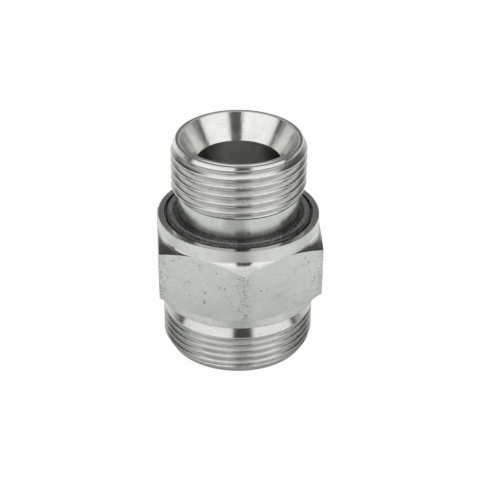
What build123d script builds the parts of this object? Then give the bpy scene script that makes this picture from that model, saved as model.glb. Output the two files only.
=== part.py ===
from build123d import *
import os
from math import cos, pi, radians, tan

# Straight adapter: a turned steel fitting that joins a pipe-threaded port to a
# metric tube nut. It stands on its metric end, with +Z up through the bore and
# a corner of the hexagon towards -Y. All sizes are in millimetres and degrees.

# Whole body
total_length = 45.2
bore_diameter = 16.5

# Pipe-threaded stud end, at the top: G 3/4, with an internal 60 degree seat
stud_length = 16.2
pipe_diameter = 26.44
pipe_pitch = 1.814
pipe_depth = 1.162
pipe_flank = 27.5
pipe_crest_flat = 0.30
pipe_lead_in = 1.05
pipe_neck_diameter = 24.0
pipe_neck_length = 4.7
first_pipe_root = 1.25
seat_diameter = 22.2
seat_angle = 60.0

# Round collar that takes the port's face, with the seal groove in its top
collar_diameter = 31.9
collar_height = 2.7
collar_edge = 0.2
collar_fillet = 0.9
groove_diameter = 29.5
groove_depth = 2.5
groove_catch_depth = 0.3
groove_catch_height = 1.8

# Seal ring, held in the groove by the catch on the groove's inner wall
seal_outer_diameter = 28.6
seal_height = 2.85
seal_clearance = 0.05
seal_bead_width = 0.4
seal_channel_width = 1.1
seal_channel_depth = 0.15
seal_lip_drop = 0.4

# Hexagon for the wrench, with both ends chamfered on the lathe
hex_sides = 6
hex_across_flats = 32.0
hex_edge_radius = 0.3
hex_chamfer_angle = 30.0

# Round shoulder under the hexagon
shoulder_diameter = 31.9
shoulder_height = 2.0
shoulder_edge = 0.2

# Metric thread end, at the bottom: M30 x 1.5, with a 24 degree cone for a tube
metric_end_length = 11.5
metric_diameter = 30.0
metric_pitch = 1.5
metric_depth = 0.92
metric_flank = 30.0
metric_crest_flat = 0.19
metric_lead_in = 1.3
metric_neck_diameter = 27.7
metric_neck_length = 0.7
metric_neck_fillet = 0.4
metric_relief_angle = 30.0
first_metric_root = 2.03

# Tube socket in the bottom end
tube_diameter = 22.0
cone_mouth_diameter = 24.3
cone_angle = 24.0
tube_stop_depth = 7.5

# The chamfer at the start of each thread, measured from the axis
lead_in_angle = 30.0
# How far cutting shapes reach past the metal that they cut
overcut = 1.0


def taper_height(radial, angle_from_axis):
    """Height over which a cone of this angle changes its radius by this much."""
    return radial / tan(radians(angle_from_axis))


# Heights and radii that follow from the sizes above
collar_top = total_length - stud_length
collar_base = collar_top - collar_height
hex_base = metric_end_length + shoulder_height
hex_corner_radius = hex_across_flats / 2 / cos(pi / hex_sides)
bore_radius = bore_diameter / 2
groove_floor = collar_top - groove_depth
groove_inner_radius = pipe_neck_diameter / 2 - groove_catch_depth
metric_thread_top = metric_end_length - metric_neck_length
metric_thread_top -= taper_height((metric_diameter - metric_neck_diameter) / 2, metric_relief_angle)


def turned(points):
    """Solid of revolution about Z from the corners of its half section."""
    return revolve(make_face(Plane.XZ * Polyline(*points, close=True)), Axis.Z)


def thread_gaps(diameter, depth, pitch, flank, crest_flat, first_root, length):
    """Gaps between the turns of a thread, as flat shapes in the half section.

    The turns are drawn as rings: the section is the thread's own, without its lead.
    The first gap's middle is at first_root, and the rest follow a pitch apart.
    """
    slope = tan(radians(flank))
    crest_radius = diameter / 2
    root_radius = crest_radius - depth
    root_half = (pitch - crest_flat) / 2 - depth * slope
    mouth_half = root_half + (depth + overcut) * slope
    gaps = []
    for turn in range(int(length / pitch) + 1):
        middle = first_root + turn * pitch
        corners = [
            (root_radius, middle - root_half),
            (crest_radius + overcut, middle - mouth_half),
            (crest_radius + overcut, middle + mouth_half),
            (root_radius, middle + root_half),
        ]
        gaps.append(make_face(Plane.XZ * Polyline(*corners, close=True)))
    return gaps


def metric_end_outline():
    """Outside of the metric end, from its end face up to the shoulder."""
    crest = metric_diameter / 2
    neck = metric_neck_diameter / 2
    return [
        (crest - metric_lead_in, 0),
        (crest, taper_height(metric_lead_in, lead_in_angle)),
        (crest, metric_thread_top),
        (neck, metric_end_length - metric_neck_length),
        (neck, metric_end_length),
    ]


def middle_outline():
    """Outside of the shoulder, hexagon and collar, as turned before milling."""
    shoulder = shoulder_diameter / 2
    flat = hex_across_flats / 2
    rim = hex_corner_radius + overcut
    chamfer = (rim - flat) * tan(radians(hex_chamfer_angle))
    collar = collar_diameter / 2
    return [
        (shoulder - shoulder_edge, metric_end_length),
        (shoulder, metric_end_length + shoulder_edge),
        (shoulder, hex_base),
        (rim, hex_base + chamfer),
        (rim, collar_base - chamfer),
        (collar, collar_base),
        (collar, collar_top - collar_edge),
        (collar - collar_edge, collar_top),
    ]


def groove_outline():
    """Seal groove in the collar's top, from its outer wall in to the neck."""
    catch_top = groove_floor + groove_catch_height
    neck = pipe_neck_diameter / 2
    return [
        (groove_diameter / 2, collar_top),
        (groove_diameter / 2, groove_floor),
        (groove_inner_radius, groove_floor),
        (groove_inner_radius, catch_top - groove_catch_depth),
        (neck, catch_top),
    ]


def stud_outline():
    """Outside of the stud end, from its neck up to the end face."""
    crest = pipe_diameter / 2
    neck = pipe_neck_diameter / 2
    neck_top = collar_top + pipe_neck_length
    lead_in_height = taper_height(pipe_lead_in, lead_in_angle)
    return [
        (neck, neck_top),
        (crest, neck_top + crest - neck),
        (crest, total_length - lead_in_height),
        (crest - pipe_lead_in, total_length),
    ]


def bore_outline():
    """Inside of the body from the top down: seat, bore, tube stop and cone."""
    seat_depth = taper_height((seat_diameter - bore_diameter) / 2, seat_angle / 2)
    cone_depth = taper_height((cone_mouth_diameter - tube_diameter) / 2, cone_angle / 2)
    return [
        (seat_diameter / 2, total_length),
        (bore_radius, total_length - seat_depth),
        (bore_radius, tube_stop_depth),
        (tube_diameter / 2, tube_stop_depth),
        (tube_diameter / 2, cone_depth),
        (cone_mouth_diameter / 2, 0),
    ]


def corner_at(section, radius, height):
    """The corner of a half section nearest to this place."""
    place = Vector(radius, 0, height)
    return min(section.vertices(), key=lambda corner: (corner.center() - place).length)


def turned_blank():
    """The body as it leaves the lathe, with its hexagon still round."""
    outline = metric_end_outline() + middle_outline() + groove_outline()
    outline += stud_outline() + bore_outline()
    section = make_face(Plane.XZ * Polyline(*outline, close=True))
    neck_corner = corner_at(section, metric_neck_diameter / 2, metric_end_length)
    section = fillet(neck_corner, metric_neck_fillet)
    section = fillet(corner_at(section, collar_diameter / 2, collar_base), collar_fillet)
    section -= thread_gaps(
        metric_diameter,
        metric_depth,
        metric_pitch,
        metric_flank,
        metric_crest_flat,
        first_metric_root,
        metric_thread_top - first_metric_root,
    )
    pipe_thread_length = stud_length - pipe_neck_length - first_pipe_root
    lowest_pipe_root = total_length - first_pipe_root
    lowest_pipe_root -= int(pipe_thread_length / pipe_pitch) * pipe_pitch
    section -= thread_gaps(
        pipe_diameter,
        pipe_depth,
        pipe_pitch,
        pipe_flank,
        pipe_crest_flat,
        lowest_pipe_root,
        pipe_thread_length,
    )
    return revolve(section, Axis.Z)


def hexagon_bar():
    """Hexagonal bar that the body is turned from, with a corner towards -Y."""
    outline = RegularPolygon(hex_across_flats / 2, hex_sides, major_radius=False)
    outline = Rot(0, 0, 180 / hex_sides) * outline
    outline = fillet(outline.vertices(), hex_edge_radius)
    return extrude(outline, total_length)


def adapter_body():
    return turned_blank() & hexagon_bar()


def seal_ring():
    """Profile seal that sits on the groove's floor and stands proud of the collar."""
    outer = seal_outer_diameter / 2
    top = groove_floor + seal_height
    inner_low = groove_inner_radius + seal_clearance
    inner_high = pipe_neck_diameter / 2 + seal_clearance
    catch_top = groove_floor + groove_catch_height - seal_clearance
    channel = top - seal_channel_depth
    bead_edge = inner_high + seal_bead_width
    lip_edge = bead_edge + seal_channel_width
    return turned([
        (inner_low, groove_floor),
        (outer, groove_floor),
        (outer, top - seal_lip_drop),
        (outer - seal_lip_drop, top),
        (lip_edge + seal_channel_depth / 2, top),
        (lip_edge, channel),
        (bead_edge, channel),
        (bead_edge - seal_channel_depth / 2, top),
        (inner_high, top),
        (inner_high, catch_top),
        (inner_low, catch_top - groove_catch_depth),
    ])


parts = {
    "adapter_body": adapter_body(),
    "seal_ring": seal_ring(),
}

os.makedirs("parts", exist_ok=True)
for name, solid in parts.items():
    export_step(solid, f"parts/{name}.step")
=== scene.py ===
import bmesh
import bpy
from math import atan, cos, degrees, pi, radians, sin, sqrt, tan
from mathutils import Matrix, Vector


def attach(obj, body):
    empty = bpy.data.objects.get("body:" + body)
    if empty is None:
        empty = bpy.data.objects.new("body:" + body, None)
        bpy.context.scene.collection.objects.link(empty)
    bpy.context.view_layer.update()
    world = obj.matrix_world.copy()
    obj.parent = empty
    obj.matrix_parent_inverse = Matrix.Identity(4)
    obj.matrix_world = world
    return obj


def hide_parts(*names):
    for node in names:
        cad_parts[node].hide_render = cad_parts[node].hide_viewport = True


# A straight adapter of turned, zinc-plated steel, stood on its metric end. The body is
# one detailed mesh with true helical threads, and the seal ring is another. Sizes are in
# millimetres and become metres where a mesh or a mask is made; angles are in degrees.
# Columns of the mesh are counted in turns round the axis from the hexagon's front corner.

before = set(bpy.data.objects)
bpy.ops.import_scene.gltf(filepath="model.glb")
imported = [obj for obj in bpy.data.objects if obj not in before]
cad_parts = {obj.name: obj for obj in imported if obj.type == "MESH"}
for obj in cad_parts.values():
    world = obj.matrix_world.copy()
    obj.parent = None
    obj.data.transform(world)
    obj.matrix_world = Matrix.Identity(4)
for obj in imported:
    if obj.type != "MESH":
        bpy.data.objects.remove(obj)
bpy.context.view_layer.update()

MM = 0.001

# Heights of the whole body, measured up from the end face that it stands on
total_length = 45.2
hex_base = 13.5
collar_base = 26.3
collar_top = 29.0

# Pipe-threaded stud with its coned seat. Crest heights are for the side towards the camera.
pipe_radius = 13.22
pipe_pitch = 1.814
pipe_depth = 1.162
pipe_flank = 27.5
pipe_crest_flat = 0
pipe_crest_round = 0.15
pipe_root_round = 0.348
pipe_crest_height = 43.0
pipe_run_out = 0.35
pipe_lead_in = 1.05
pipe_neck_radius = 12.0
pipe_neck_top = 33.7
rim_height = 45.05
lip_radius = 11.62
lip_groove = 0.08
lip_round = 0.02
lip_slope_width = 0.1
lip_slope_height = 45.14
seat_radius = 11.1
seat_angle = 60.0
bore_radius = 8.25

# Collar and seal groove
collar_radius = 15.95
collar_fillet = 1.6
groove_radius = 14.75
groove_floor = 26.5
groove_inner_radius = 11.7
catch_top = 28.3
catch_depth = 0.3

# Hexagon and the round shoulder under it
hex_sides = 6
hex_flat = 16.0
hex_round = 0.31
hex_chamfer = 30.0
shoulder_radius = 15.95
shoulder_base = 11.5
shoulder_round = 0.45

# Metric thread end with its tube socket
metric_radius = 15.0
metric_pitch = 1.5
metric_depth = 0.92
metric_flank = 30.0
metric_crest_flat = 0.1
metric_crest_round = 0.06
metric_root_round = 0.2
metric_crest_height = 7.26
metric_run_out = 0.2
metric_lead_in = 1.3
metric_neck_radius = 13.85
metric_neck_base = 10.8
metric_relief_angle = 30.0
relief_round = 0.8
metric_neck_round = 0.4
tube_radius = 11.0
cone_mouth_radius = 12.15
cone_angle = 24.0
tube_stop_height = 7.5

# Seal ring. Widths are measured in from the inner edge and from the outer edge of its top,
# and drops are measured down from the top.
seal_outer_radius = 14.3
seal_inner_radius = 12.05
seal_foot_radius = 11.75
seal_outline_start = 28.45
seal_outline_end = 28.4
seal_catch_base = 28.0
seal_catch_top = 28.3
seal_top = 29.35
seal_inner_drop = 0.05
seal_inner_round = 0.12
seal_lip_width = 0.28
seal_lip_drop = 0.1
seal_channel_start = 0.38
seal_channel_end = 0.75
seal_channel_depth = 0.35
seal_crown_start = 0.95
seal_crown_end = 0.55
seal_crown_drop = 0.02
seal_crown_round = 0.3
seal_step_start = 0.4
seal_step_start_drop = 0.16
seal_step_end = 0.2
seal_step_end_drop = 0.2
seal_edge_drop = 0.55
seal_edge_round = 0.15
seal_round = 0.1

# Broken edges of the turned and milled faces
fine_edge = 0.08
soft_edge = 0.2
lead_in_angle = 30.0

# Density of the meshes, and how they are welded and shaded
columns_per_flat = 32
seal_columns = 180
arc_steps = 4
# The most of a side that a rounding at its end may take
arc_reach = 0.48
flank_steps = 3
spare_laps = 3
weld_distance = 0.0004
sharp_angle = 28.0
flat_face_weight = 90
# The most that a face on one of the hexagon's flats may look up or down
flat_tilt = 0.2

# Zones of the turned steel, the hexagon and the seal. Each is bounded by spans of height or
# radius, from where the zone hasn't begun to where it is full.
seat_from_height = (38.0, 38.5)
seat_to_radius = (11.2, 11.1)
neck_from_height = (28.8, 29.0)
neck_to_height = (33.9, 33.7)
neck_from_radius = (11.7, 11.9)
pipe_roots_from_height = (33.5, 34.5)
pipe_roots_from_radius = (11.9, 12.0)
pipe_roots_to_radius = (12.5, 12.05)
metric_roots_to_height = (9.2, 9.0)
metric_roots_to_radius = (14.7, 14.05)
relief_from_height = (8.8, 9.0)
relief_to_height = (11.8, 11.5)
run_out_from_height = (33.65, 33.75)
run_out_to_height = (34.0, 33.9)
run_out_from_radius = (11.8, 11.9)
run_out_to_radius = (12.45, 12.3)
bore_to_height = (40.1, 40.0)
bore_to_radius = (8.35, 8.3)
chamfer_from_height = (24.5, 25.0)
chamfer_from_radius = (16.2, 17.2)
sides_from_radius = (15.85, 15.9)
sides_to_radius = (16.05, 16.0)
corner_from_radius = (17.1, 18.3)
crown_from_radius = (12.7, 12.95)
crown_to_radius = (13.8, 13.6)

# The lathe rings' change round the axis as a share of that along it, and the seat's chatter's
# change up the axis as a share of that across it
ring_drift = 0.03
chatter_stretch = 0.12

# Colours of the plating where it is dullest and brightest, and of what lies on it, with the grey of the
# shade painted into its hollows
turned_dull = (0.745, 0.75, 0.722, 1)
turned_bright = (0.845, 0.85, 0.82, 1)
drawn_dull = (0.64, 0.645, 0.62, 1)
drawn_bright = (0.77, 0.775, 0.748, 1)
turned_glint = (0.86, 0.87, 0.85, 1)
drawn_glint = (0.84, 0.85, 0.83, 1)
dark_speck = (0.18, 0.18, 0.17, 1)
dark_pit = (0.14, 0.14, 0.13, 1)
# Grey painted as shade into the thread roots, the run-out, the neck, the relief, the bore and under the
# collar
painted_shade_grey = (0.2, 0.2, 0.19, 1)

# Colours of the seal
rubber_black = (0.01, 0.011, 0.01, 1)
rubber_grey = (0.025, 0.026, 0.024, 1)
rubber_line = (0.16, 0.162, 0.155, 1)
# Lighter grey painted on the seal's crown as its highlight
crown_highlight_grey = (0.28, 0.283, 0.273, 1)
rubber_dust = (0.3, 0.302, 0.29, 1)

# Camera, fitted to the outlines in the photograph: it looks a little from the left of the
# front corner, and the picture is turned by half a degree
camera_turn = -4.12
camera_elevation = 30.68
camera_distance = 314.18
camera_side_shift = 0.35
camera_aim_height = 22.216
camera_roll = 0.504
camera_focal = 118.12
camera_sensor = 36.0
nearest_seen = 10
farthest_seen = 10000


def cone_height(radial, angle_from_axis):
    """Height over which a cone of this angle changes its radius by this much."""
    return radial / tan(radians(angle_from_axis))


def rounded_path(corners):
    """Half-section points from (radius, height, rounding) corners, open at both ends."""
    places = [Vector(corner[:2]) for corner in corners]
    path = [places[0]]
    for before, corner, after, (_, _, rounding) in zip(places, places[1:], places[2:], corners[1:]):
        if rounding == 0:
            path.append(corner)
            continue
        back = before - corner
        ahead = after - corner
        bend = pi - back.angle(ahead, pi)
        reach = min(rounding * tan(bend / 2), back.length * arc_reach, ahead.length * arc_reach)
        start = corner + back.normalized() * reach
        end = corner + ahead.normalized() * reach
        for step in range(arc_steps + 1):
            t = step / arc_steps
            path.append(start * (1 - t) ** 2 + corner * 2 * t * (1 - t) + end * t ** 2)
    path.append(places[-1])
    return [(point.x, point.y) for point in path]


def thread_section(pitch, depth, flank, crest_flat, crest_round, root_round):
    """One turn of a thread as (share of a pitch, depth below the crest), from crest to crest."""
    sweep = radians(90 - flank)
    crest_end = crest_flat / 2 + crest_round * sin(sweep)
    crest_drop = crest_round * (1 - cos(sweep))
    root_rise = root_round * (1 - cos(sweep))
    flank_height = (depth - crest_drop - root_rise) * tan(radians(flank))
    root_start = crest_end + flank_height
    half = [(0, 0)]
    for step in range(arc_steps + 1):
        turn = sweep * step / arc_steps
        half.append((crest_flat / 2 + crest_round * sin(turn), crest_round * (1 - cos(turn))))
    for step in range(1, flank_steps):
        share = step / flank_steps
        drop = crest_drop + (depth - crest_drop - root_rise) * share
        half.append((crest_end + flank_height * share, drop))
    for step in range(arc_steps + 1):
        turn = sweep * (1 - step / arc_steps)
        along = root_start + root_round * (sin(sweep) - sin(turn))
        half.append((along, depth - root_round * (1 - cos(turn))))
    half = [(height / pitch, drop) for height, drop in half]
    mirrored = [(1 - height, drop) for height, drop in reversed(half)]
    return half + mirrored[:-1]


def envelope_radius(outline, height):
    """Radius of a half-section outline, given from its lowest point up, at this height."""
    for (low_radius, low), (high_radius, high) in zip(outline, outline[1:]):
        if height <= high:
            share = (height - low) / (high - low) if high > low else 1
            return low_radius + (high_radius - low_radius) * max(0, share)
    return outline[-1][0]


class Thread:
    """A right-hand thread cut into a turned outline, sampled along its own helix.

    Its cut grows shallow over the last run_out below the outline's top.
    """

    def __init__(self, crest_radius, pitch, section, crest_height, outline, run_out):
        self.crest_radius = crest_radius
        self.pitch = pitch
        self.section = section
        self.outline = outline
        self.low = outline[0][1]
        self.high = outline[-1][1]
        self.run_out = run_out
        self.crest_height = crest_height
        self.crest_turn = camera_turn / 360
        self.first_lap = int((self.low - crest_height) / pitch) - spare_laps
        self.last_lap = int((self.high - crest_height) / pitch) + spare_laps

    def column(self, turn):
        """Points of the thread's section at this many turns round from the first column."""
        points = []
        for lap in range(self.first_lap, self.last_lap):
            for share, drop in self.section:
                height = self.crest_height + self.pitch * (lap + share + turn - self.crest_turn)
                height = min(max(height, self.low), self.high)
                blank = envelope_radius(self.outline, height)
                cut = max(0, blank - (self.crest_radius - drop))
                cut *= min(1, (self.high - height) / self.run_out)
                points.append((blank - cut, height))
        return points


def pipe_thread():
    section = thread_section(
        pipe_pitch, pipe_depth, pipe_flank, pipe_crest_flat, pipe_crest_round, pipe_root_round,
    )
    return Thread(pipe_radius, pipe_pitch, section, pipe_crest_height, pipe_outline(), pipe_run_out)


def metric_thread():
    section = thread_section(
        metric_pitch, metric_depth, metric_flank,
        metric_crest_flat, metric_crest_round, metric_root_round,
    )
    return Thread(
        metric_radius, metric_pitch, section, metric_crest_height, metric_outline(), metric_run_out,
    )


def relief_base():
    """Height at which the relief above the metric thread starts."""
    return metric_neck_base - cone_height(metric_radius - metric_neck_radius, metric_relief_angle)


def metric_start():
    """Lowest point of the metric thread's chamfer, just above the edge of the end face."""
    slope = tan(radians(lead_in_angle))
    return metric_radius - metric_lead_in + fine_edge * slope, fine_edge


def metric_outline():
    """Blank of the metric thread, from the end face's edge up to the relief."""
    return [
        metric_start(),
        (metric_radius, cone_height(metric_lead_in, lead_in_angle)),
        (metric_radius, relief_base()),
    ]


def chamfer_radius(height):
    """Radius of the stud's starting chamfer at this height."""
    return pipe_radius - pipe_lead_in + (total_length - height) * tan(radians(lead_in_angle))


def pipe_outline():
    """Blank of the stud end from its neck up to its rim."""
    lead_in = cone_height(pipe_lead_in, lead_in_angle)
    rim = rim_height - fine_edge
    return [
        (pipe_neck_radius, pipe_neck_top),
        (pipe_radius, pipe_neck_top + pipe_radius - pipe_neck_radius),
        (pipe_radius, total_length - lead_in),
        (chamfer_radius(rim), rim),
    ]


def hex_radius(turn):
    """Distance from the axis to the rounded hexagon at this many turns from a corner."""
    sector = 1 / hex_sides
    from_corner = abs((turn + sector / 2) % sector - sector / 2) * 2 * pi
    arc_centre = (hex_flat - hex_round) / cos(pi / hex_sides)
    tangent = atan(hex_round * sin(pi / hex_sides) / (arc_centre + hex_round * cos(pi / hex_sides)))
    if from_corner < tangent:
        offset = arc_centre * sin(from_corner)
        return arc_centre * cos(from_corner) + sqrt(hex_round ** 2 - offset ** 2)
    return hex_flat / cos(pi / hex_sides - from_corner)


def column_turns():
    """Places of the mesh's columns in turns from the front corner, closer at each corner."""
    arc_centre = (hex_flat - hex_round) / cos(pi / hex_sides)
    tangent = atan(hex_round * sin(pi / hex_sides) / arc_centre) / (2 * pi)
    sector = 1 / hex_sides
    near_corner = [-tangent, -tangent * 0.5, 0, tangent * 0.5, tangent]
    turns = []
    for side in range(hex_sides):
        turns += [side * sector + place for place in near_corner[2:]]
        for step in range(1, columns_per_flat):
            turns.append((side + step / columns_per_flat) * sector)
        turns += [(side + 1) * sector + place for place in near_corner[:2]]
    turns.append(1.0)
    return turns


def neck_and_shoulder():
    """From the top of the metric thread up to the hexagon, round all the way."""
    return rounded_path([
        (metric_radius, relief_base(), 0),
        (metric_neck_radius, metric_neck_base, relief_round),
        (metric_neck_radius, shoulder_base, metric_neck_round),
        (shoulder_radius, shoulder_base, shoulder_round),
        (shoulder_radius, hex_base - fine_edge, 0),
    ])


def hexagon_and_collar(turn):
    """From under the hexagon over the collar, through the seal groove and up the stud's neck."""
    corner = hex_radius(turn)
    chamfer = (corner - hex_flat) * tan(radians(hex_chamfer))
    return rounded_path([
        (hex_flat, hex_base, 0),
        (corner, hex_base + chamfer, fine_edge),
        (corner, collar_base - chamfer, fine_edge),
        (collar_radius, collar_base, collar_fillet),
        (collar_radius, collar_top, soft_edge),
        (groove_radius, collar_top, fine_edge),
        (groove_radius, groove_floor, fine_edge),
        (groove_inner_radius, groove_floor, fine_edge),
        (groove_inner_radius, catch_top - catch_depth, fine_edge),
        (pipe_neck_radius, catch_top, fine_edge),
        (pipe_neck_radius, pipe_neck_top, 0),
    ])


def inside():
    """From the rim over the seat's lip, down the bore and out through the tube socket."""
    seat_depth = cone_height(seat_radius - bore_radius, seat_angle / 2)
    cone_depth = cone_height(cone_mouth_radius - tube_radius, cone_angle / 2)
    return rounded_path([
        (chamfer_radius(rim_height - fine_edge), rim_height - fine_edge, 0),
        (chamfer_radius(rim_height), rim_height, fine_edge),
        (lip_radius + lip_groove, rim_height, lip_round),
        (lip_radius + lip_groove / 2, rim_height - lip_groove, lip_round),
        (lip_radius, rim_height, lip_round),
        (lip_radius - lip_slope_width, lip_slope_height, lip_slope_width),
        (seat_radius, total_length, fine_edge),
        (bore_radius, total_length - seat_depth, fine_edge),
        (bore_radius, tube_stop_height, fine_edge),
        (tube_radius, tube_stop_height, fine_edge),
        (tube_radius, cone_depth, fine_edge),
        (cone_mouth_radius, 0, fine_edge),
        (metric_radius - metric_lead_in, 0, fine_edge),
        (*metric_start(), 0),
    ])


def grid_object(name, columns, turns):
    """Mesh object from columns of (radius, height) points, closed and welded all round."""
    mesh = bmesh.new()
    grid = []
    for turn, points in zip(turns, columns):
        angle = 2 * pi * turn - pi / 2
        grid.append([
            mesh.verts.new((radius * MM * cos(angle), radius * MM * sin(angle), height * MM))
            for radius, height in points
        ])
    for left, right in zip(grid, grid[1:]):
        for row in range(len(left)):
            above = (row + 1) % len(left)
            mesh.faces.new((left[row], right[row], right[above], left[above]))
    bmesh.ops.remove_doubles(mesh, verts=mesh.verts, dist=weld_distance * MM)
    bmesh.ops.dissolve_degenerate(mesh, dist=weld_distance * MM, edges=mesh.edges)
    bmesh.ops.recalc_face_normals(mesh, faces=mesh.faces)
    for face in mesh.faces:
        face.smooth = True
    for edge in mesh.edges:
        if len(edge.link_faces) == 2:
            edge.smooth = edge.calc_face_angle() < radians(sharp_angle)
    data = bpy.data.meshes.new(name)
    mesh.to_mesh(data)
    mesh.free()
    made = bpy.data.objects.new(name, data)
    bpy.context.scene.collection.objects.link(made)
    return made


class Graph:
    """The node tree of a material or of the world, built step by step."""

    def __init__(self, owner):
        owner.use_nodes = True
        self.tree = owner.node_tree
        self.tree.nodes.clear()

    def node(self, kind, inputs=None, **settings):
        made = self.tree.nodes.new(kind)
        for name, value in settings.items():
            setattr(made, name, value)
        for name, value in (inputs or {}).items():
            self.put(made.inputs[name], value)
        return made

    def put(self, socket, value):
        if isinstance(value, bpy.types.NodeSocket):
            self.tree.links.new(value, socket)
        else:
            socket.default_value = value

    def math(self, operation, *values):
        made = self.tree.nodes.new("ShaderNodeMath")
        made.operation = operation
        for socket, value in zip(made.inputs, values):
            self.put(socket, value)
        return made.outputs[0]

    def remap(self, value, low, high, to_low=0.0, to_high=1.0, smooth=False):
        """The value mapped from low..high to to_low..to_high, and held at its ends."""
        made = self.node("ShaderNodeMapRange", interpolation_type="SMOOTHSTEP" if smooth else "LINEAR")
        ends = {"From Min": low, "From Max": high, "To Min": to_low, "To Max": to_high}
        self.put(made.inputs["Value"], value)
        for name, end in ends.items():
            self.put(made.inputs[name], end)
        return made.outputs["Result"]

    def noise(self, vector, scale, detail=3.0, roughness=0.5):
        made = self.node("ShaderNodeTexNoise", {
            "Vector": vector, "Scale": scale, "Detail": detail, "Roughness": roughness,
        })
        return made.outputs["Fac"]


def mix_color(graph, share, first, second):
    """Colour between two colours, which are the node's inputs 6 and 7 and its output 2."""
    made = graph.node("ShaderNodeMix", data_type="RGBA")
    graph.put(made.inputs[0], share)
    graph.put(made.inputs[6], first)
    graph.put(made.inputs[7], second)
    return made.outputs[2]


def round_the_axis(graph, place):
    """Radius and height of a place, and where to take noise that runs in rings round the axis."""
    x, y, height = graph.node("ShaderNodeSeparateXYZ", {"Vector": place}).outputs
    squares = graph.math("ADD", graph.math("MULTIPLY", x, x), graph.math("MULTIPLY", y, y))
    radius = graph.math("SQRT", squares)
    along = graph.node("ShaderNodeCombineXYZ", {"X": radius, "Y": height}).outputs["Vector"]
    drift = (ring_drift, ring_drift, 0)
    around = graph.node("ShaderNodeVectorMath", {0: place, 1: drift}, operation="MULTIPLY")
    rings = graph.node("ShaderNodeVectorMath", {0: along, 1: around.outputs["Vector"]}, operation="ADD")
    return radius, height, rings.outputs["Vector"]


def mask(graph, *bounds):
    """One inside every bound, from (value, span) pairs with the spans in millimetres."""
    share = 1.0
    for value, (none_yet, in_full) in bounds:
        share = graph.math("MULTIPLY", share, graph.remap(value, none_yet * MM, in_full * MM))
    return share


def elsewhere(graph, place):
    """The place moved aside, so that noise taken there doesn't repeat what was taken before."""
    moved = graph.node("ShaderNodeMapping", {"Vector": place, "Location": (0.07, 0.03, 0.01)})
    return moved.outputs["Vector"]


def finished(material, graph, shader):
    """The material with this shader on its surface."""
    graph.node("ShaderNodeOutputMaterial", {"Surface": shader.outputs["BSDF"]})
    return material


def speckled(graph, place, scale, low, high, patch_scale, patch_low, patch_high):
    """Fine specks, one where full, gathered in patches and thinned out between them."""
    specks = graph.remap(graph.noise(place, scale, detail=3, roughness=0.65), low, high)
    patches = graph.remap(graph.noise(place, patch_scale, detail=3), patch_low, patch_high)
    return graph.math("MULTIPLY", specks, patches)


def neck_mask(graph, radius, height):
    """The stud's neck, down to the collar's top."""
    return mask(
        graph,
        (height, neck_from_height),
        (height, neck_to_height),
        (radius, neck_from_radius),
    )


def seat_mask(graph, radius, height):
    """The coned seat inside the rim."""
    return mask(graph, (height, seat_from_height), (radius, seat_to_radius))


def painted_shade_on_turned(graph, radius, height):
    """Share of grey painted shade: most in the roots of the threads and where the stud's thread runs out,
    some on the neck, relief, bore and the hexagon's chamfer under the collar.
    """
    pipe_roots = mask(
        graph,
        (height, pipe_roots_from_height),
        (radius, pipe_roots_from_radius),
        (radius, pipe_roots_to_radius),
    )
    run_out = mask(
        graph,
        (height, run_out_from_height),
        (height, run_out_to_height),
        (radius, run_out_from_radius),
        (radius, run_out_to_radius),
    )
    shaded_places = [
        (pipe_roots, 0.6),
        (mask(graph, (height, metric_roots_to_height), (radius, metric_roots_to_radius)), 0.35),
        (neck_mask(graph, radius, height), 0.32),
        (mask(graph, (height, relief_from_height), (height, relief_to_height)), 0.15),
        (run_out, 0.95),
        (mask(graph, (height, bore_to_height), (radius, bore_to_radius)), 0.15),
        (mask(graph, (height, chamfer_from_height), (radius, chamfer_from_radius)), 0.25),
    ]
    painted_shade = 0.0
    for where, share in shaded_places:
        painted_shade = graph.math("ADD", painted_shade, graph.math("MULTIPLY", where, share))
    return painted_shade


def turned_color(graph, place, blotch, radius, height):
    """Plating between dull and bright, with glints, dark specks and painted shade on it."""
    tone = graph.remap(blotch, 0.35, 0.65)
    clean = mix_color(graph, tone, turned_dull, turned_bright)
    glints = speckled(
        graph, elsewhere(graph, place), scale=2600, low=0.62, high=0.68,
        patch_scale=380, patch_low=0.48, patch_high=0.6,
    )
    glinting = mix_color(graph, graph.math("MULTIPLY", glints, 0.8), clean, turned_glint)
    specks = speckled(
        graph, place, scale=3000, low=0.58, high=0.67,
        patch_scale=420, patch_low=0.46, patch_high=0.6,
    )
    fewer_in_seat = graph.remap(seat_mask(graph, radius, height), 0.0, 1.0, 1.0, 0.35)
    specks = graph.math("MULTIPLY", specks, fewer_in_seat)
    specked = mix_color(graph, graph.math("MULTIPLY", specks, 0.7), glinting, dark_speck)
    # Painted shade: grey laid into the thread roots and the other hollows
    return mix_color(graph, painted_shade_on_turned(graph, radius, height), specked, painted_shade_grey)


def turned_roughness(graph, blotch, radius, height):
    """Mottled gloss: smoother on the neck, and duller on the sides of the collar and shoulder."""
    sides = mask(graph, (radius, sides_from_radius), (radius, sides_to_radius))
    neck = graph.math("MULTIPLY", neck_mask(graph, radius, height), -0.05)
    change = graph.math("ADD", neck, graph.math("MULTIPLY", sides, 0.18))
    return graph.math("ADD", graph.remap(blotch, 0.3, 0.7, 0.18, 0.24), change)


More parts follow.
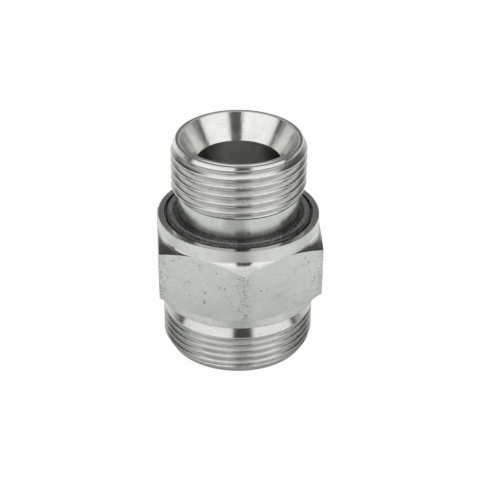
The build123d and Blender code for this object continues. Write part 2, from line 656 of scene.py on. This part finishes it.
def turned_relief(graph, place, rings_at, radius, height):
    """Fine rings of the lathe tool, its chatter down the seat, and unevenness all over."""
    stretch = (1, 1, chatter_stretch)
    stretched = graph.node("ShaderNodeVectorMath", {0: place, 1: stretch}, operation="MULTIPLY")
    chatter = graph.noise(stretched.outputs["Vector"], scale=2200, detail=3, roughness=0.6)
    chatter = graph.math("MULTIPLY", chatter, seat_mask(graph, radius, height))
    rings = graph.noise(rings_at, scale=9000, detail=2)
    uneven = graph.noise(place, scale=1500, detail=3)
    relief = graph.math("MULTIPLY", rings, 0.6)
    relief = graph.math("ADD", relief, graph.math("MULTIPLY", chatter, 1.6))
    relief = graph.math("ADD", relief, graph.math("MULTIPLY", uneven, 0.5))
    return graph.node("ShaderNodeBump", {"Strength": 0.5, "Distance": 0.02 * MM, "Height": relief})


def turned_steel():
    """Plated steel as it leaves the lathe, with the grain of the turning round the axis."""
    material = bpy.data.materials.new("plated_steel_turned")
    graph = Graph(material)
    place = graph.node("ShaderNodeTexCoord").outputs["Object"]
    radius, height, rings_at = round_the_axis(graph, place)
    blotch = graph.noise(place, scale=300, detail=5, roughness=0.6)
    bump = turned_relief(graph, place, rings_at, radius, height)
    tangent = graph.node("ShaderNodeTangent", direction_type="RADIAL", axis="Z")
    return finished(material, graph, graph.node("ShaderNodeBsdfPrincipled", {
        "Base Color": turned_color(graph, place, blotch, radius, height),
        "Metallic": 1.0,
        "Roughness": turned_roughness(graph, blotch, radius, height),
        "Anisotropic": 0.9,
        "Anisotropic Rotation": 0.25,
        "Normal": bump.outputs["Normal"],
        "Tangent": tangent.outputs["Tangent"],
    }))


def hexagon_flaws(graph, place, grain, radius):
    """Scattered pits, and ragged wear that comes in patches and along the corners."""
    at_corner = mask(graph, (radius, corner_from_radius))
    ragged = graph.noise(place, scale=2600, detail=4, roughness=0.7)
    ragged = graph.math("ADD", ragged, graph.math("MULTIPLY", at_corner, 0.06))
    patches = graph.remap(graph.noise(place, scale=300, detail=4, roughness=0.6), 0.5, 0.6)
    worn = graph.math("MAXIMUM", patches, at_corner)
    worn = graph.math("MULTIPLY", graph.remap(ragged, 0.56, 0.66), worn)
    cells = graph.node("ShaderNodeTexVoronoi", {"Vector": place, "Scale": 700, "Randomness": 1.0})
    ragged_edge = graph.remap(grain, 0.3, 0.7, -0.12, 0.12)
    from_centre = graph.math("ADD", cells.outputs["Distance"], ragged_edge)
    few = graph.remap(graph.noise(place, scale=520, detail=2), 0.6, 0.64)
    pits = graph.math("MULTIPLY", graph.remap(from_centre, 0.1, 0.24, 1.0, 0.0), few)
    return graph.math("MAXIMUM", pits, graph.math("MULTIPLY", worn, 0.7))


def drawn_color(graph, place, blotch, grain, flaws):
    """Mottled plating with glints, dark where it is flawed."""
    mottle = graph.math("ADD", graph.math("MULTIPLY", blotch, 0.55), graph.math("MULTIPLY", grain, 0.45))
    clean = mix_color(graph, graph.remap(mottle, 0.36, 0.64), drawn_dull, drawn_bright)
    glints = speckled(
        graph, elsewhere(graph, place), scale=2400, low=0.58, high=0.68,
        patch_scale=300, patch_low=0.45, patch_high=0.6,
    )
    glinting = mix_color(graph, graph.math("MULTIPLY", glints, 0.6), clean, drawn_glint)
    return mix_color(graph, graph.math("MULTIPLY", flaws, 0.8), glinting, dark_pit)


def drawn_steel():
    """Plated steel of the drawn hexagonal bar: satin and mottled, worn along its corners."""
    material = bpy.data.materials.new("plated_steel_drawn")
    graph = Graph(material)
    place = graph.node("ShaderNodeTexCoord").outputs["Object"]
    radius, _, _ = round_the_axis(graph, place)
    blotch = graph.noise(place, scale=260, detail=5, roughness=0.6)
    grain = graph.noise(place, scale=2400, detail=3, roughness=0.6)
    flaws = hexagon_flaws(graph, place, grain, radius)
    relief = graph.math("SUBTRACT", graph.math("MULTIPLY", grain, 0.5), flaws)
    bump = graph.node("ShaderNodeBump", {"Strength": 0.7, "Distance": 0.05 * MM, "Height": relief})
    return finished(material, graph, graph.node("ShaderNodeBsdfPrincipled", {
        "Base Color": drawn_color(graph, place, blotch, grain, flaws),
        "Metallic": 1.0,
        "Roughness": graph.remap(blotch, 0.3, 0.7, 0.34, 0.46),
        "Normal": bump.outputs["Normal"],
    }))


def rubber_color(graph, place, blotch, rings_at, radius):
    """Black with moulding lines, a painted highlight laid unevenly on its crown, and dust."""
    black = mix_color(graph, graph.remap(blotch, 0.3, 0.7), rubber_black, rubber_grey)
    lines = graph.remap(graph.noise(rings_at, scale=4200, detail=2), 0.5, 0.62)
    lined = mix_color(graph, graph.math("MULTIPLY", lines, 0.5), black, rubber_line)
    crown = mask(graph, (radius, crown_from_radius), (radius, crown_to_radius))
    uneven = graph.noise(place, scale=1300, detail=5, roughness=0.7)
    crown = graph.math("MULTIPLY", crown, graph.remap(uneven, 0.42, 0.56, 0.3, 1.0))
    # Painted highlight on the seal's crown, uneven across it
    highlighted = mix_color(graph, graph.math("MULTIPLY", crown, 0.75), lined, crown_highlight_grey)
    dust = speckled(
        graph, place, scale=2600, low=0.52, high=0.62,
        patch_scale=700, patch_low=0.38, patch_high=0.56,
    )
    return mix_color(graph, graph.math("MULTIPLY", dust, 0.6), highlighted, rubber_dust)


def rubber_material():
    """Black elastomer with a dull sheen."""
    material = bpy.data.materials.new("seal_rubber")
    graph = Graph(material)
    place = graph.node("ShaderNodeTexCoord").outputs["Object"]
    radius, _, rings_at = round_the_axis(graph, place)
    blotch = graph.noise(place, scale=500, detail=4)
    relief = graph.noise(place, scale=1800, detail=3)
    bump = graph.node("ShaderNodeBump", {"Strength": 0.6, "Distance": 0.04 * MM, "Height": relief})
    return finished(material, graph, graph.node("ShaderNodeBsdfPrincipled", {
        "Base Color": rubber_color(graph, place, blotch, rings_at, radius),
        "Roughness": graph.remap(blotch, 0.3, 0.7, 0.22, 0.36),
        "Specular IOR Level": 0.6,
        "Normal": bump.outputs["Normal"],
    }))


def on_hexagon_flat(face):
    """Whether a face of the body is on one of the hexagon's flats, which the lathe left alone."""
    between_chamfers = hex_base < face.center.z / MM < collar_base
    upright = abs(face.normal.z) < flat_tilt
    return between_chamfers and upright and face.center.xy.length / MM > collar_radius


def make_body():
    metric = metric_thread()
    pipe = pipe_thread()
    low_part = neck_and_shoulder()
    inner_part = inside()
    turns = column_turns()
    columns = [
        metric.column(turn) + low_part + hexagon_and_collar(turn) + pipe.column(turn) + inner_part
        for turn in turns
    ]
    body = grid_object("adapter_body_detail", columns, turns)
    body.data.materials.append(turned_steel())
    body.data.materials.append(drawn_steel())
    for face in body.data.polygons:
        if on_hexagon_flat(face):
            face.material_index = 1
    weighted = body.modifiers.new("weighted normals", "WEIGHTED_NORMAL")
    weighted.keep_sharp = True
    weighted.weight = flat_face_weight
    return body


def seal_outline():
    """Half section of the seal, up its inner wall, over the top and round to the catch."""
    inner = seal_inner_radius
    outer = seal_outer_radius
    channel = seal_top - seal_channel_depth
    return rounded_path([
        (inner, seal_outline_start, 0),
        (inner, seal_top - seal_inner_drop, seal_inner_round),
        (inner + seal_lip_width, seal_top - seal_lip_drop, seal_round),
        (inner + seal_channel_start, channel, seal_round),
        (inner + seal_channel_end, channel, seal_round),
        (inner + seal_crown_start, seal_top, seal_crown_round),
        (outer - seal_crown_end, seal_top - seal_crown_drop, seal_crown_round),
        (outer - seal_step_start, seal_top - seal_step_start_drop, seal_round),
        (outer - seal_step_end, seal_top - seal_step_end_drop, seal_round),
        (outer, seal_top - seal_edge_drop, seal_edge_round),
        (outer, groove_floor, seal_round),
        (seal_foot_radius, groove_floor, seal_round),
        (seal_foot_radius, seal_catch_base, seal_round),
        (inner, seal_catch_top, seal_round),
        (inner, seal_outline_end, 0),
    ])


def make_seal():
    turns = [step / seal_columns for step in range(seal_columns + 1)]
    seal = grid_object("seal_ring_detail", [seal_outline()] * len(turns), turns)
    seal.data.materials.append(rubber_material())
    return seal


def make_camera():
    camera = bpy.data.objects.new("camera", bpy.data.cameras.new("camera"))
    camera.data.lens = camera_focal
    camera.data.sensor_width = camera_sensor
    camera.data.clip_start = nearest_seen * MM
    camera.data.clip_end = farthest_seen * MM
    elevation = radians(camera_elevation)
    aim = Vector((camera_side_shift, 0, camera_aim_height))
    back = Vector((0, -cos(elevation), sin(elevation)))
    turn = Matrix.Rotation(radians(camera_turn), 4, "Z")
    place = Matrix.Translation((aim + back * camera_distance) * MM)
    look = back.to_track_quat("Z", "Y").to_matrix().to_4x4()
    roll = Matrix.Rotation(radians(camera_roll), 4, "Z")
    camera.matrix_world = turn @ place @ look @ roll
    bpy.context.scene.collection.objects.link(camera)
    bpy.context.scene.camera = camera


# Soft boxes of the light tent round the adapter. Azimuth is measured from the camera's side,
# positive to its right, and elevation from the horizon: the two ends of each, in degrees,
# and then the strength. The gap in front is where the camera looks in.
soft_boxes = [
    (-86, -7, 4, 60, 1.04),
    (23, 86, 4, 60, 1.04),
    (-104, -96, -10, 45, 0.25),
    (95, 104, -10, 45, 0.25),
    (-150, -106, -10, 24, 0.55),
    (106, 150, -10, 24, 0.5),
    (-180, -150, -10, 24, 0.55),
    (150, 180, -10, 24, 0.55),
    (-180, -150, 30, 60, 0.25),
    (150, 180, 30, 60, 0.25),
]
# How far the edges of a box fade to each side and up and down, in degrees
box_softness = 3
box_fade = 6
# The box overhead starts at this elevation, and the tent is dim between all of them
overhead_start = 60
overhead_strength = 0.96
tent_dimness = 0.06
# A large floor just under the adapter. To the camera it is mostly plain white light, and the
# rest of it takes shadow.
floor_size = 3000
floor_drop = 0.01
floor_grey = (0.9, 0.9, 0.9, 1)
floor_tint = (0.97, 1, 0.975, 1)
floor_whiteness = 0.97
# What the metal sees of the floor: in the adapter's own shade at the foot, and open beyond
foot_radius = 15
foot_shade = 0.42
open_radius = 60
open_floor = 0.97
# A darker patch of floor in front, as if the camera stood in the light: its two ends in
# azimuth, where it starts and is full, and how much light it takes
front_left = -24
front_right = 14
front_softness = 9
front_start = 38
front_end = 62
front_dimming = 0.36


def band(graph, value, low, high, soft):
    """One between low and high, falling smoothly to nothing over soft on each side."""
    rising = graph.remap(value, low - soft, low + soft, smooth=True)
    falling = graph.remap(value, high - soft, high + soft, 1.0, 0.0, smooth=True)
    return graph.math("MULTIPLY", rising, falling)


def camera_azimuth(graph, vector):
    """Azimuth of a direction or place from the camera's side, in degrees, and its height."""
    turned = graph.node("ShaderNodeVectorRotate", {
        "Vector": vector, "Angle": radians(-camera_turn),
    }, rotation_type="Z_AXIS")
    x, y, z = graph.node("ShaderNodeSeparateXYZ", {"Vector": turned.outputs["Vector"]}).outputs
    azimuth = graph.math("ARCTAN2", x, graph.math("MULTIPLY", y, -1))
    return graph.math("MULTIPLY", azimuth, degrees(1)), z


def make_world():
    """A light tent: soft boxes left, right and overhead, with dark gaps between them."""
    world = bpy.data.worlds.new("studio")
    bpy.context.scene.world = world
    graph = Graph(world)
    direction = graph.node("ShaderNodeTexCoord").outputs["Generated"]
    azimuth, rise = camera_azimuth(graph, direction)
    elevation = graph.math("MULTIPLY", graph.math("ARCSINE", rise), degrees(1))
    light = tent_dimness
    for left, right, low, high, strength in soft_boxes:
        across = band(graph, azimuth, left, right, box_softness)
        up = band(graph, elevation, low, high, box_fade)
        box = graph.math("MULTIPLY", graph.math("MULTIPLY", across, up), strength)
        light = graph.math("ADD", light, box)
    overhead_low = overhead_start - box_fade
    overhead_high = overhead_start + box_fade
    overhead = graph.remap(elevation, overhead_low, overhead_high, 0.0, overhead_strength, smooth=True)
    light = graph.math("ADD", light, overhead)
    background = graph.node("ShaderNodeBackground", {"Color": (1, 1, 1, 1), "Strength": light})
    graph.node("ShaderNodeOutputWorld", {"Surface": background.outputs["Background"]})


def light_from_floor(graph, place):
    """How bright the metal sees the floor: dim at the adapter's foot and in front of it."""
    radius = graph.node("ShaderNodeVectorMath", {0: place}, operation="LENGTH").outputs["Value"]
    azimuth, _ = camera_azimuth(graph, place)
    in_front = band(graph, azimuth, front_left, front_right, front_softness)
    in_front = graph.math("MULTIPLY", in_front, front_dimming)
    in_front = graph.math("MULTIPLY", in_front, graph.remap(radius, front_start * MM, front_end * MM))
    light = graph.remap(radius, foot_radius * MM, open_radius * MM, foot_shade, open_floor)
    return graph.math("MULTIPLY", light, graph.math("SUBTRACT", 1, in_front))


def floor_material():
    """White that keeps a light shadow for the camera, and shows its own light to the metal."""
    material = bpy.data.materials.new("floor_white")
    graph = Graph(material)
    rays = graph.node("ShaderNodeLightPath").outputs
    place = graph.node("ShaderNodeTexCoord").outputs["Object"]
    diffuse = graph.node("ShaderNodeBsdfDiffuse", {"Color": floor_grey})
    white = graph.node("ShaderNodeEmission", {"Color": (1, 1, 1, 1), "Strength": 1.0})
    to_metal = graph.node("ShaderNodeEmission", {
        "Color": floor_tint, "Strength": light_from_floor(graph, place),
    })
    seen = graph.node("ShaderNodeMixShader", {
        0: graph.math("MULTIPLY", rays["Is Camera Ray"], floor_whiteness),
        1: diffuse.outputs["BSDF"],
        2: white.outputs["Emission"],
    })
    surface = graph.node("ShaderNodeMixShader", {
        0: rays["Is Glossy Ray"],
        1: seen.outputs["Shader"],
        2: to_metal.outputs["Emission"],
    })
    graph.node("ShaderNodeOutputMaterial", {"Surface": surface.outputs["Shader"]})
    return material


def make_floor():
    size = floor_size * MM
    height = -floor_drop * MM
    mesh = bpy.data.meshes.new("floor")
    corners = [(-size, -size, height), (size, -size, height), (size, size, height), (-size, size, height)]
    mesh.from_pydata(corners, [], [(0, 1, 2, 3)])
    mesh.materials.append(floor_material())
    floor = bpy.data.objects.new("floor", mesh)
    bpy.context.scene.collection.objects.link(floor)


body = make_body()
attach(body, "root")
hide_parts("adapter_body")

seal = make_seal()
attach(seal, "root")
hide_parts("seal_ring")

make_floor()
make_world()
make_camera()
bpy.context.scene.view_settings.view_transform = "Standard"
